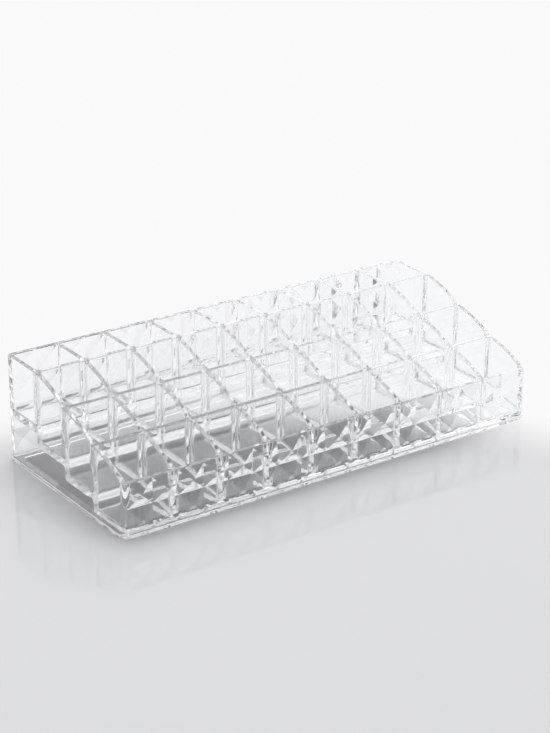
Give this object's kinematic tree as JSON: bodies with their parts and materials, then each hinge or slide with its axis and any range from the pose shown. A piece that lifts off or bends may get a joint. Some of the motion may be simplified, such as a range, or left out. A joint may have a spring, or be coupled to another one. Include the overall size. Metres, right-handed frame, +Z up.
{
  "type": "stepped cosmetic organizer",
  "caption": "Clear stepped cosmetic organizer with square pockets in tiers, scalloped dividers, diamond-faceted front and back panels and a rimmed base.",
  "frame": {"origin": "middle of the footprint, on the surface that the organizer stands on", "axes": "+X to the right along the rows of pockets, +Y to the tall back, +Z up"},
  "size_m": [0.2326, 0.1076, 0.053],
  "materials": {
    "clear_acrylic": "clear and polished"
  },
  "bodies": {
    "root": {"base_frame": "clear_acrylic", "front_panel": "clear_acrylic", "back_panel": "clear_acrylic", "left_end_wall": "clear_acrylic", "right_end_wall": "clear_acrylic", "row_wall_1": "clear_acrylic", "row_wall_2": "clear_acrylic", "row_wall_3": "clear_acrylic", "tier_floor_1": "clear_acrylic", "tier_floor_2": "clear_acrylic", "tier_floor_3": "clear_acrylic", "tier_floor_4": "clear_acrylic", "divider_1": "clear_acrylic", "divider_2": "clear_acrylic", "divider_3": "clear_acrylic", "divider_4": "clear_acrylic", "divider_5": "clear_acrylic", "divider_6": "clear_acrylic", "divider_7": "clear_acrylic", "divider_8": "clear_acrylic"}
  },
  "joints": []
}
